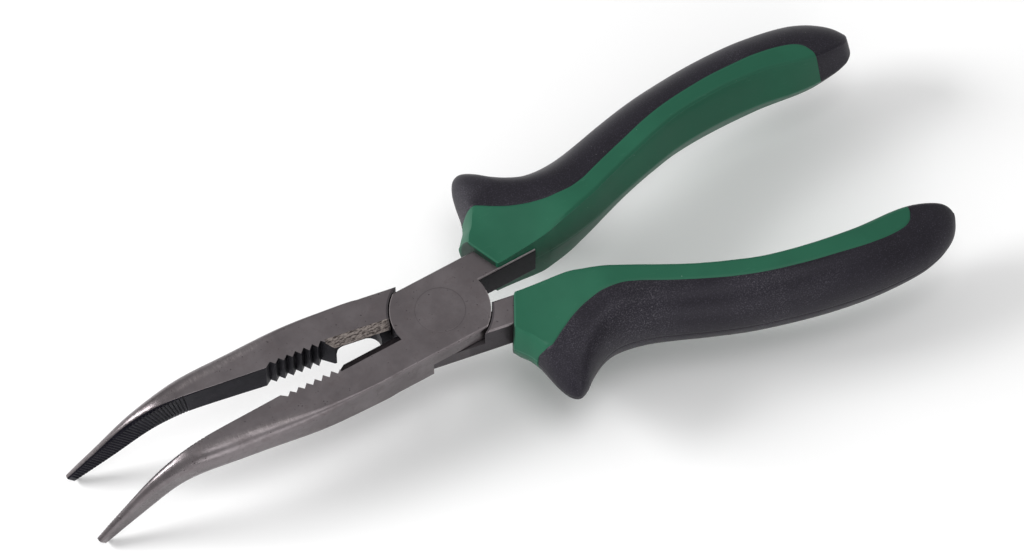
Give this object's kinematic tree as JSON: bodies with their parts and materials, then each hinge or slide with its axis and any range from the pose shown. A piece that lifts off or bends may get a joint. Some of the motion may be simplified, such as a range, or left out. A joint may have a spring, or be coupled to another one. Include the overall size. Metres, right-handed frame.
{
  "type": "bent-nose pliers",
  "caption": "Bent long-nose pliers with pipe grip, side cutter, lap joint and two-part moulded grips with finger guards.",
  "frame": {"origin": "pivot axis at the flat underside of the head", "axes": "+Z along the pivot, from the underside to the top face of the head, so the nose bends towards -Z; +X from the pivot towards the handle ends, midway between the handles"},
  "size_m": [0.2, 0.07, 0.0271],
  "materials": {
    "steel": "satin",
    "rivet_steel": "satin",
    "core_plastic": "matte",
    "cover_rubber": "matte"
  },
  "bodies": {
    "upper": {"upper_half": "steel", "rivet": "rivet_steel", "upper_grip_core": "core_plastic", "upper_grip_cover": "cover_rubber"},
    "lower": {"lower_half": "steel", "lower_grip_core": "core_plastic", "lower_grip_cover": "cover_rubber"}
  },
  "joints": [
    {"name": "pivot", "type": "hinge", "parent": "upper", "child": "lower", "pos_m": [0, 0, 0.0043], "axis": [0, 0, 1], "range_deg": [-25, 10.4]}
  ]
}
